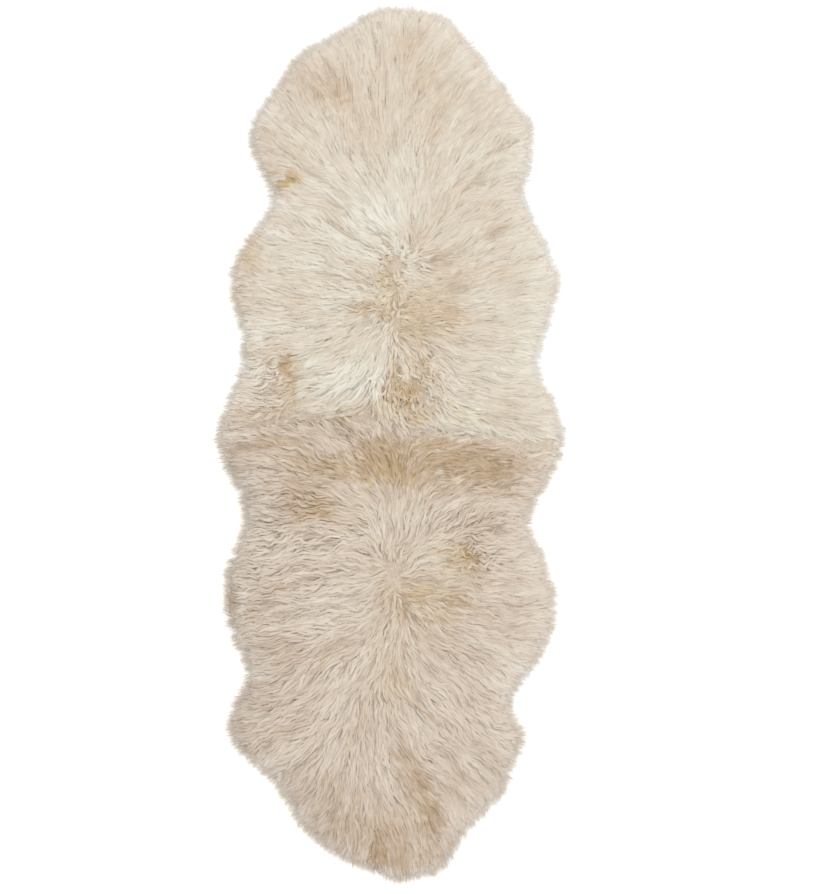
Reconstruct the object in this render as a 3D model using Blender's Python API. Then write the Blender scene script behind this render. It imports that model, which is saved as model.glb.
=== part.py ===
"""Double sheepskin rug: two long-wool pelts sewn rump to rump, lying flat with the wool side up.

Metres, +Z up. The floor is z = 0, the rug's length runs along Y, and the origin is the middle of
the rug's footprint on the floor. Each pelt is one solid: its skin with the wool that grows from it,
as far as the pile reaches. A pelt is measured from the edge that is sewn, section by section.
"""

from collections import namedtuple

import bmesh
import bpy
import numpy as np

# ---------------------------------------------------------------- driving dimensions
PILE_HEIGHT = 0.046  # top of the combed pile over the floor, away from edges and partings
RIM_HEIGHT = 0.011  # the pile at its outermost tips, where it has drooped to the floor
RIM_ROUNDING = 0.075  # how far in from the outline the pile reaches its full height
SEAM_GAP = 0.0003  # between the two pelts' faces at the seam
SEAM_DIP = 0.014  # how much lower the pile lies along the seam
SEAM_DIP_WIDTH = 0.032
WHORL_WIDTH = 0.045  # radius of the hollow where the wool parts

ROWS = 52  # cross rows of a pelt's mesh
COLUMNS = 20  # faces across a row

# A pelt's cut: distance from the sewn edge, and the outline left and right of the spine line,
# to the tips of the wool, looking down on the wool with the upper pelt's head away from you.
Section = namedtuple("Section", "along left right")

UPPER_CUT = [
    Section(0.000, -0.363, 0.360),  # hips, at the seam
    Section(0.035, -0.351, 0.349),
    Section(0.070, -0.337, 0.335),
    Section(0.107, -0.323, 0.312),
    Section(0.144, -0.310, 0.306),  # flanks
    Section(0.189, -0.312, 0.321),
    Section(0.234, -0.318, 0.333),
    Section(0.277, -0.331, 0.347),
    Section(0.312, -0.333, 0.351),  # belly
    Section(0.349, -0.325, 0.337),
    Section(0.384, -0.310, 0.324),
    Section(0.419, -0.280, 0.306),
    Section(0.452, -0.257, 0.290),
    Section(0.483, -0.249, 0.277),  # behind the forelegs
    Section(0.518, -0.265, 0.284),
    Section(0.559, -0.284, 0.294),
    Section(0.596, -0.294, 0.298),  # shoulders
    Section(0.637, -0.288, 0.290),
    Section(0.672, -0.269, 0.267),
    Section(0.713, -0.236, 0.232),
    Section(0.754, -0.212, 0.201),
    Section(0.785, -0.181, 0.179),
    Section(0.810, -0.136, 0.160),
    Section(0.830, -0.097, 0.138),
    Section(0.851, -0.068, 0.117),
    Section(0.865, -0.043, 0.080),
    Section(0.873, -0.018, 0.029),  # neck
]
LOWER_CUT = [
    Section(0.000, -0.363, 0.360),  # hips, at the seam
    Section(0.037, -0.357, 0.357),
    Section(0.074, -0.346, 0.343),
    Section(0.109, -0.327, 0.325),
    Section(0.140, -0.309, 0.306),
    Section(0.185, -0.308, 0.286),  # flanks
    Section(0.222, -0.318, 0.298),
    Section(0.255, -0.331, 0.318),
    Section(0.294, -0.342, 0.330),
    Section(0.345, -0.344, 0.341),  # belly
    Section(0.397, -0.338, 0.339),
    Section(0.438, -0.322, 0.325),
    Section(0.473, -0.304, 0.306),
    Section(0.503, -0.298, 0.286),
    Section(0.534, -0.312, 0.259),
    Section(0.563, -0.330, 0.249),  # behind the forelegs
    Section(0.596, -0.337, 0.266),
    Section(0.627, -0.333, 0.279),  # shoulders
    Section(0.657, -0.318, 0.269),
    Section(0.686, -0.286, 0.255),
    Section(0.719, -0.249, 0.247),
    Section(0.750, -0.224, 0.228),
    Section(0.781, -0.209, 0.199),
    Section(0.814, -0.187, 0.168),
    Section(0.844, -0.156, 0.145),
    Section(0.871, -0.119, 0.132),
    Section(0.892, -0.076, 0.119),
    Section(0.908, -0.039, 0.101),
    Section(0.920, -0.014, 0.050),
    Section(0.927, -0.002, 0.022),  # neck
]

# Soft hollows in the pile where the wool parts, by the same measures, and how deep each is.
Hollow = namedtuple("Hollow", "along across depth")

UPPER_WHORLS = [
    Hollow(0.352, 0.030, 0.010),
    Hollow(0.218, -0.010, 0.011),
    Hollow(0.112, -0.205, 0.008),
]
LOWER_WHORLS = [
    Hollow(0.288, 0.006, 0.012),
    Hollow(0.150, -0.180, 0.007),
    Hollow(0.235, 0.150, 0.007),
]

WOOL_COLOUR = (0.716, 0.638, 0.542, 1.0)
WOOL_ROUGHNESS = 0.9


def smooth_through(keys, values, at):
    """A smooth curve through the points (keys, values), read at each of `at`."""
    keys, values = np.asarray(keys), np.asarray(values)
    slopes = np.gradient(values, keys)
    i = np.clip(np.searchsorted(keys, at) - 1, 0, len(keys) - 2)
    span = keys[i + 1] - keys[i]
    t = (at - keys[i]) / span
    return (
        (1 + 2 * t) * (1 - t) ** 2 * values[i]
        + t * (1 - t) ** 2 * span * slopes[i]
        + t**2 * (3 - 2 * t) * values[i + 1]
        + t**2 * (t - 1) * span * slopes[i + 1]
    )


def row_places(length):
    """How far along each cross row lies: evenly spaced over the body, closer at the round neck."""
    share = np.linspace(0.0, 1.0, ROWS + 1)
    return length * (0.45 * share + 0.55 * np.sin(share * np.pi / 2))


def column_places():
    """Shares of the width from -1 to 1, a little closer at the edges, which are round."""
    share = np.linspace(-1.0, 1.0, COLUMNS + 1)
    return 0.4 * share + 0.6 * np.sin(share * np.pi / 2)


def lattice(cut):
    """The pelt's points seen from above: arrays of x and of the distance along, by row and column."""
    keys = [s.along for s in cut]
    along = row_places(keys[-1])
    left = smooth_through(keys, [s.left for s in cut], along)
    right = smooth_through(keys, [s.right for s in cut], along)
    across = column_places()
    x = (left + right)[:, None] / 2 + (right - left)[:, None] / 2 * across
    return x, np.repeat(along[:, None], len(across), axis=1)


def distance_to_outline(x, along):
    """How far each lattice point is from the pelt's free outline. The sewn edge doesn't count."""
    line = np.concatenate(
        [
            np.stack([x[:, 0], along[:, 0]], 1),
            np.stack([x[-1, 1:-1], along[-1, 1:-1]], 1),
            np.stack([x[::-1, -1], along[::-1, -1]], 1),
        ]
    )
    start, step = line[:-1], np.diff(line, axis=0)
    points = np.stack([x, along], -1)[:, :, None, :]
    share = ((points - start) * step).sum(-1) / (step**2).sum(-1)
    nearest = start + np.clip(share, 0, 1)[..., None] * step
    return np.linalg.norm(points - nearest, axis=-1).min(-1)


def pile_surface(x, along, hollows):
    """The height of the wool's top over the floor at each lattice point."""
    inward = np.clip(distance_to_outline(x, along) / RIM_ROUNDING, 0, 1)
    body = PILE_HEIGHT - SEAM_DIP * np.exp(-((along / SEAM_DIP_WIDTH) ** 2))
    for hollow in hollows:
        away = np.hypot(x - hollow.across, along - hollow.along)
        body = body - hollow.depth * np.exp(-((away / WHORL_WIDTH) ** 2))
    return RIM_HEIGHT + (body - RIM_HEIGHT) * np.sqrt(1 - (1 - inward) ** 2)


def pelt_mesh(name, cut, hollows, heading):
    """One closed pelt: the pile's top, the rim round it and the flat underside. heading is the
    way from the sewn edge to the neck, +1 for +Y and -1 for -Y."""
    x, along = lattice(cut)
    height = pile_surface(x, along, hollows)
    y = heading * (along + SEAM_GAP / 2)

    shape = bmesh.new()
    top = [
        [shape.verts.new(point) for point in zip(*row)] for row in zip(x, y, height)
    ]
    for near, far in zip(top, top[1:]):
        for a, b, c, d in zip(near, near[1:], far[1:], far):
            shape.faces.new((a, b, c, d))

    rim = (
        top[0]
        + [row[-1] for row in top[1:-1]]
        + top[-1][::-1]
        + [row[0] for row in top[-2:0:-1]]
    )
    foot = [shape.verts.new((v.co.x, v.co.y, 0.0)) for v in rim]
    for i, vert in enumerate(rim):
        after = (i + 1) % len(rim)
        shape.faces.new((vert, foot[i], foot[after], rim[after]))
    shape.faces.new(foot[::-1])
    bmesh.ops.recalc_face_normals(shape, faces=shape.faces)

    mesh = bpy.data.meshes.new(name)
    shape.to_mesh(mesh)
    shape.free()
    mesh.shade_smooth()
    mesh.set_sharp_from_angle(angle=np.radians(40))
    return mesh


def wool_material():
    material = bpy.data.materials.new("wool")
    material.use_nodes = True
    shader = material.node_tree.nodes["Principled BSDF"]
    shader.inputs["Base Color"].default_value = WOOL_COLOUR
    shader.inputs["Roughness"].default_value = WOOL_ROUGHNESS
    shader.inputs["Metallic"].default_value = 0.0
    return material


def sew_together():
    """Both pelts, placed so that the rug's footprint is centred on the origin."""
    upper_length, lower_length = UPPER_CUT[-1].along, LOWER_CUT[-1].along
    seam_y = (lower_length - upper_length) / 2
    material = wool_material()
    pelts = [
        ("pelt_upper", UPPER_CUT, UPPER_WHORLS, 1),
        ("pelt_lower", LOWER_CUT, LOWER_WHORLS, -1),
    ]
    meshes = {name: pelt_mesh(name, *rest) for name, *rest in pelts}
    across = [v.co.x for mesh in meshes.values() for v in mesh.vertices]
    spine_x = -(min(across) + max(across)) / 2
    for name, mesh in meshes.items():
        mesh.materials.append(material)
        pelt = bpy.data.objects.new(name, mesh)
        pelt.location = (spine_x, seam_y, 0.0)
        bpy.context.scene.collection.objects.link(pelt)


for leftover in list(bpy.data.objects):
    bpy.data.objects.remove(leftover)
sew_together()
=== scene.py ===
"""Double sheepskin rug: two long-wool pelts sewn hips to hips, seen from straight above.

Metres, +Z up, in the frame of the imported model: the rug lies on z = 0 with its length along Y.
Each pelt is a thin hide, a dense underwool on it, and tens of thousands of wool wisps gathered
into locks, which lie the way the wool is combed.
"""

from collections import namedtuple

import bpy
import numpy as np
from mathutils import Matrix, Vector
from mathutils.bvhtree import BVHTree


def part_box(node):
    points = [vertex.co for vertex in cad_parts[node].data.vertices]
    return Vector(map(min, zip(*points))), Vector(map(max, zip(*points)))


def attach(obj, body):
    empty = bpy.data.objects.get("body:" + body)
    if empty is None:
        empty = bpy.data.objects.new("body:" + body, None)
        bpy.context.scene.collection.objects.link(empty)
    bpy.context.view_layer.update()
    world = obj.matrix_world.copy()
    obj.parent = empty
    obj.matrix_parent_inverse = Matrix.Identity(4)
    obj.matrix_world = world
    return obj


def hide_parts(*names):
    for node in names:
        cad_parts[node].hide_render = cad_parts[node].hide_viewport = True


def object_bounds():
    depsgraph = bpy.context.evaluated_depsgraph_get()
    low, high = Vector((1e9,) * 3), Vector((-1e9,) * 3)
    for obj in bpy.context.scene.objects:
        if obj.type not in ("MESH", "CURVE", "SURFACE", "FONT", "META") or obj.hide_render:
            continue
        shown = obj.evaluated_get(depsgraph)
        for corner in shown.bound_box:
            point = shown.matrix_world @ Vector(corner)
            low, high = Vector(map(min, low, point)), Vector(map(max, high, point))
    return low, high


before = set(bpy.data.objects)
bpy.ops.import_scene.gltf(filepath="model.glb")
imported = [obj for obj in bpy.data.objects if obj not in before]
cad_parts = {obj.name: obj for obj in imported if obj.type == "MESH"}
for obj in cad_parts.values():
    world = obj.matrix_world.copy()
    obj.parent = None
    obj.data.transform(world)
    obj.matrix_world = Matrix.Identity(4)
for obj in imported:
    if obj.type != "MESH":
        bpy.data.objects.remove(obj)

CAD_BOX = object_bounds()

# -------- sizes, in metres
HIDE_INSET = 0.036  # the wool's tips reach this far past the hide's edge
HIDE_THICKNESS = 0.0022
UNDERWOOL_INSET = 0.026
UNDERWOOL_SHARE = 0.66  # of the pile's height

LOCK_LENGTH = (0.050, 0.072)
LIE_NOISE = 7.0  # degrees: how far the combed direction wanders
CRIMP = 13.0  # degrees: how far the waves turn the wool where it is ruffled
SEED = 7

# The photograph's frame: the rug is 876 of its 894 pixels long.
IMAGE_HEIGHT_PX = 894
RUG_LENGTH_PX = 876
RUG_CENTRE_PX = (390.3, 444.5)
IMAGE_CENTRE_PX = (412.0, 447.0)

# -------- how the wool is combed
# Compass of the comb, in degrees from +X anticlockwise, at each of these distances from the
# rug's long axis. A row is one cross-line, given by its y.
COMB_X = (-0.30, -0.205, -0.125, -0.06, -0.01, 0.025, 0.07, 0.155, 0.265)
Comb = namedtuple("Comb", "y headings")

UPPER_COMB = [
    Comb(0.85, (140, 132, 124, 110, 92, 80, 58, 45, 38)),
    Comb(0.79, (145, 140, 128, 104, 91, 82, 52, 42, 38)),
    Comb(0.73, (145, 132, 116, 99, 93, 90, 58, 42, 38)),
    Comb(0.67, (148, 132, 106, 96, 91, 89, 64, 50, 34)),
    Comb(0.605, (155, 142, 128, 112, 104, 95, 78, 50, 26)),
    Comb(0.545, (176, 164, 148, 130, 116, 102, 78, 42, 10)),
    Comb(0.49, (165, 163, 152, 138, 124, 106, 72, 40, 8)),
    Comb(0.44, (165, 159, 148, 140, 136, 120, 46, 36, 18)),
    Comb(0.40, (185, 172, 158, 143, 150, 120, 20, 32, 22)),
    Comb(0.365, (180, 170, 164, 150, 178, 340, 352, 22, 16)),
    Comb(0.32, (177, 166, 172, 168, 180, 350, 352, 18, 14)),
    Comb(0.265, (168, 172, 186, 198, 195, 5, 4, 6, 8)),
    Comb(0.225, (178, 190, 198, 216, 250, 330, 335, 356, 0)),
    Comb(0.195, (190, 192, 202, 225, 268, 308, 312, 345, 358)),
    Comb(0.155, (193, 192, 204, 236, 256, 285, 298, 346, 346)),
    Comb(0.10, (190, 198, 200, 232, 275, 290, 304, 345, 352)),
    Comb(0.06, (192, 208, 192, 200, 290, 305, 320, 340, 338)),
    Comb(0.03, (190, 196, 188, 200, 292, 308, 325, 338, 336)),
]
LOWER_COMB = [
    Comb(0.005, (185, 160, 145, 138, 125, 100, 15, 358, 0)),
    Comb(-0.03, (178, 162, 154, 140, 114, 98, 15, 356, 2)),
    Comb(-0.07, (181, 168, 158, 146, 120, 95, 40, 4, 5)),
    Comb(-0.105, (180, 176, 170, 156, 105, 92, 58, 10, 6)),
    Comb(-0.14, (184, 178, 174, 162, 92, 80, 66, 30, 3)),
    Comb(-0.175, (190, 183, 178, 174, 88, 76, 50, 18, 358)),
    Comb(-0.215, (194, 198, 180, 178, 84, 60, 25, 6, 353)),
    Comb(-0.25, (190, 200, 180, 180, 170, 35, 5, 355, 350)),
    Comb(-0.285, (190, 194, 181, 188, 205, 0, 358, 352, 350)),
    Comb(-0.32, (182, 188, 182, 190, 222, 315, 352, 350, 355)),
    Comb(-0.355, (184, 183, 186, 198, 240, 280, 325, 344, 0)),
    Comb(-0.40, (188, 188, 204, 214, 245, 278, 322, 336, 350)),
    Comb(-0.455, (194, 214, 226, 236, 250, 285, 318, 324, 335)),
    Comb(-0.505, (190, 208, 230, 256, 268, 300, 312, 316, 325)),
    Comb(-0.565, (198, 200, 226, 262, 276, 300, 308, 316, 325)),
    Comb(-0.63, (198, 212, 244, 270, 292, 308, 316, 319, 335)),
    Comb(-0.69, (215, 222, 256, 270, 294, 304, 315, 316, 285)),
    Comb(-0.75, (222, 222, 240, 266, 284, 296, 306, 296, 250)),
    Comb(-0.81, (240, 250, 258, 276, 288, 293, 282, 262, 250)),
    Comb(-0.875, (250, 255, 260, 272, 284, 286, 270, 262, 255)),
]
# How far the comb, as an arrow of length 1, is pushed outward near the outline: from nothing at the
# first depth to all of this at the second.
OUTWARD_PUSH, OUTWARD_PUSH_DEPTHS = 0.9, (0.075, HIDE_INSET * 0.6)

# -------- how the wool is coloured
# tone runs from 0, dark tan, to 1, pale cream. hue runs from 0, ashen, through a third, rosy, and
# two thirds, golden, to 1, amber. ruffle runs from 0, sleek, to 1, tousled. Each patch adds its
# own tone, hue and curl at its middle, less and less over its reach across and along, and lies
# turned anticlockwise by its turn, in degrees. Each ruffle adds its own amount over its reach.
Patch = namedtuple("Patch", "x y across along tone hue curl turn", defaults=(0, 0, 0))
Ruffle = namedtuple("Ruffle", "x y reach amount")
Fleece = namedtuple("Fleece", "tone hue ruffle patches ruffles")

PATCH_FRAY = 0.35  # how uneven a patch's edge is
SLEEK_EDGE = (-0.015, 0.085)  # depths inside the outline, from no ruffle to all of it
# What is added near the outline, from nothing at the first depth or x to all of it at the second.
TIP_HUE, TIP_HUE_DEPTHS = -0.55, (0.026, 0.002)
# Painted light: the wool turns paler towards and past the outline, where light washes out its thin
# fringe.
RIM_PAINTED_LIGHT, RIM_PAINTED_LIGHT_DEPTHS = 0.30, (0.016, -0.008)
LEFT_HUE, LEFT_HUE_DEPTHS, LEFT_HUE_X = -0.16, (0.10, 0.0), (0.05, -0.15)

# Each row holds a patch's fields in the order above, and what is left out at its end is 0.
UPPER_PATCHES = [
    (-0.103, 0.716, 0.031, 0.045, -0.18, -0.04, 0, 28),  # crown
    (-0.132, 0.724, 0.049, 0.029, -0.16, 0.02),
    (-0.149, 0.77, 0.058, 0.041, -0.07, -0.12),
    (0.024, 0.807, 0.025, 0.033, -0.16, 0.05),
    (0.061, 0.823, 0.037, 0.037, -0.08, -0.06),
    (0.069, 0.733, 0.041, 0.018, -0.14, -0.04, 0, 10),
    (-0.029, 0.778, 0.021, 0.029, -0.09, -0.06),
    (-0.066, 0.616, 0.041, 0.049, -0.1, -0.07, 0, 20),
    (0.01, 0.761, 0.01, 0.033, 0.16),
    (0.16, 0.692, 0.082, 0.058, -0.07, -0.08),
    (0.088, 0.609, 0.012, 0.062, -0.12, -0.03, 0, -12),
    (0.03, 0.574, 0.023, 0.051, 0.09, 0.04),
    (-0.255, 0.626, 0.027, 0.035, -0.13, -0.06),  # shoulders
    (-0.202, 0.546, 0.018, 0.014, -0.58, 0.4, 0.1),
    (-0.225, 0.529, 0.016, 0.012, -0.55, 0.38, 0.1),
    (-0.243, 0.56, 0.025, 0.021, -0.1, 0.06),
    (-0.12, 0.48, 0.031, 0.014, -0.1, -0.08, 0, -35),
    (-0.011, 0.465, 0.049, 0.035, 0.18, 0.04),
    (0.205, 0.49, 0.025, 0.012, -0.16, -0.04),
    (0.186, 0.459, 0.014, 0.01, -0.2, 0.02),
    (0.213, 0.431, 0.025, 0.021, -0.17, -0.1, 0, 20),
    (0.215, 0.626, 0.033, 0.025, -0.06, -0.08),
    (0.055, 0.422, 0.021, 0.018, -0.12, -0.1),
    (0.102, 0.373, 0.037, 0.014, -0.15, -0.02, 0, -30),
    (0.23, 0.35, 0.045, 0.016, -0.1, -0.08),
    (-0.282, 0.404, 0.027, 0.031, -0.28, 0.3, 0.1, 20),  # left flank
    (-0.29, 0.367, 0.035, 0.018, -0.26, 0.12, 0.1),
    (-0.313, 0.297, 0.033, 0.058, -0.22, -0.03),
    (0.001, 0.359, 0.031, 0.027, -0.36, 0.3, 0.2, -30),  # where the wool parts
    (0.02, 0.375, 0.018, 0.016, 0, 0, 0.6),
    (-0.001, 0.396, 0.033, 0.016, 0.1, -0.04),
    (-0.027, 0.33, 0.023, 0.016, -0.22, 0.08, 0.2),
    (0.001, 0.318, 0.023, 0.014, -0.16, 0.12, 0.2),
    (-0.06, 0.34, 0.023, 0.018, -0.2, 0.04, 0.1),
    (-0.005, 0.293, 0.041, 0.025, 0.05, 0.22, 0.4),
    (-0.013, 0.26, 0.018, 0.01, -0.34, 0, 0.5),
    (-0.033, 0.285, 0.033, 0.014, -0.18, 0.1, 0.5),
    (-0.062, 0.272, 0.031, 0.014, -0.28, 0, 0.3),
    (0.04, 0.231, 0.025, 0.037, -0.13, 0.1, 0.3),
    (0.086, 0.293, 0.086, 0.045, -0.16, 0.08),
    (0.082, 0.219, 0.053, 0.053, -0.14, 0.08),
    (0.133, 0.348, 0.053, 0.045, -0.15, -0.05),
    (0.135, 0.26, 0.031, 0.029, -0.2, 0.03),
    (-0.144, 0.237, 0.012, 0.012, -0.14, 0, 0.1),
    (-0.237, 0.202, 0.014, 0.01, -0.2, 0, 0.2),  # curly patches
    (-0.214, 0.157, 0.025, 0.023, -0.66, 0.08, 0.8, 20),
    (-0.21, 0.12, 0.023, 0.023, -0.32, 0.04, 0.7),
    (-0.264, 0.149, 0.037, 0.07, -0.03, -0.05),
    (0.006, 0.153, 0.018, 0.037, -0.3, 0.14, 0.7),
    (0.014, 0.104, 0.021, 0.029, -0.32, 0.12, 0.8),
    (0.049, 0.114, 0.027, 0.021, -0.36, 0.16, 0.9),
    (0.061, 0.161, 0.023, 0.018, -0.3, 0.08, 0.8),
    (0.09, 0.137, 0.018, 0.018, -0.13, 0, 0.4),
    (0.057, 0.112, 0.062, 0.07, -0.15, -0.04, 0.3),
    (-0.029, 0.096, 0.012, 0.033, -0.1, -0.04),
    (-0.033, 0.063, 0.014, 0.01, -0.28, 0.02, 0.4),  # above the seam
    (-0.06, 0.05, 0.016, 0.01, -0.16, 0.02, 0.2),
    (0.051, 0.048, 0.029, 0.014, -0.18, 0.04, 0.3),
    (-0.107, 0.042, 0.045, 0.014, -0.14, 0.06, 0.2),
    (-0.194, 0.052, 0.053, 0.016, -0.16, -0.03, 0.1),
    (-0.202, 0.085, 0.016, 0.01, -0.22, 0, 0.3, 30),
    (-0.243, 0.067, 0.025, 0.012, -0.2, 0, 0.2, 20),
    (-0.309, 0.054, 0.049, 0.029, -0.12, -0.08),
    (0.267, 0.04, 0.058, 0.033, -0.02, -0.03),
    (0.221, 0.209, 0.062, 0.008, -0.11, -0.03, 0, 15),
    (-0.255, 0.149, 0.066, 0.078, -0.05, -0.02),  # broad shades
    (0.071, 0.272, 0.095, 0.099, -0.09, 0.06),
    (0.016, 0.061, 0.123, 0.035, -0.18, 0.21),
    (-0.216, 0.063, 0.136, 0.041, -0.1, 0.02),
    (-0.103, 0.038, 0.07, 0.018, -0.06, 0.08),
    (-0.107, 0.204, 0.062, 0.041, -0.12, 0.03),
    (0.164, 0.204, 0.053, 0.053, -0.08, 0.06),
    (0.174, 0.054, 0.062, 0.025, -0.03, 0.15),
    (-0.093, 0.759, 0.123, 0.09, -0.07),
    (0.02, 0.739, 0.154, 0.123, -0.09, 0.02),
    (0.112, 0.441, 0.074, 0.123, -0.12, 0.04),
    (0.225, 0.42, 0.041, 0.103, -0.08),
    (-0.186, 0.574, 0.045, 0.053, -0.08),
    (-0.025, 0.568, 0.049, 0.045, -0.06),
    (-0.021, 0.636, 0.185, 0.049, -0.07),
    (-0.046, 0.457, 0.053, 0.041, 0.12, 0.02),
    (-0.186, 0.718, 0.058, 0.082, -0.12),
    (0.082, 0.718, 0.103, 0.082, -0.08),
    (-0.206, 0.297, 0.049, 0.049, -0.08),
    (0.236, 0.067, 0.049, 0.041, -0.1, 0.06),
    (-0.216, 0.548, 0.045, 0.029, -0.07, 0.04),
    (-0.089, 0.137, 0.055, 0.051, 0.18, 0.05),  # palest places
    (-0.155, 0.297, 0.092, 0.062, -0.05, 0.03),
    (0.291, 0.194, 0.033, 0.082, 0.1, 0.05),
    (0.205, 0.137, 0.058, 0.033, 0, 0.03),
    (0.308, 0.338, 0.029, 0.082, 0.08, 0.05),
]
UPPER_FLEECE = Fleece(
    tone=0.80,
    hue=0.58,
    ruffle=0.35,
    patches=UPPER_PATCHES,
    ruffles=[
        Ruffle(-0.02, 0.74, 0.20, -0.25),  # crown
        Ruffle(-0.01, 0.33, 0.10, 0.20),  # where the wool parts
        Ruffle(-0.24, 0.13, 0.10, 0.50),
        Ruffle(0.00, 0.11, 0.12, 0.50),
        Ruffle(0.34, 0.25, 0.16, -0.30),  # right edge
    ],
)
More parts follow.
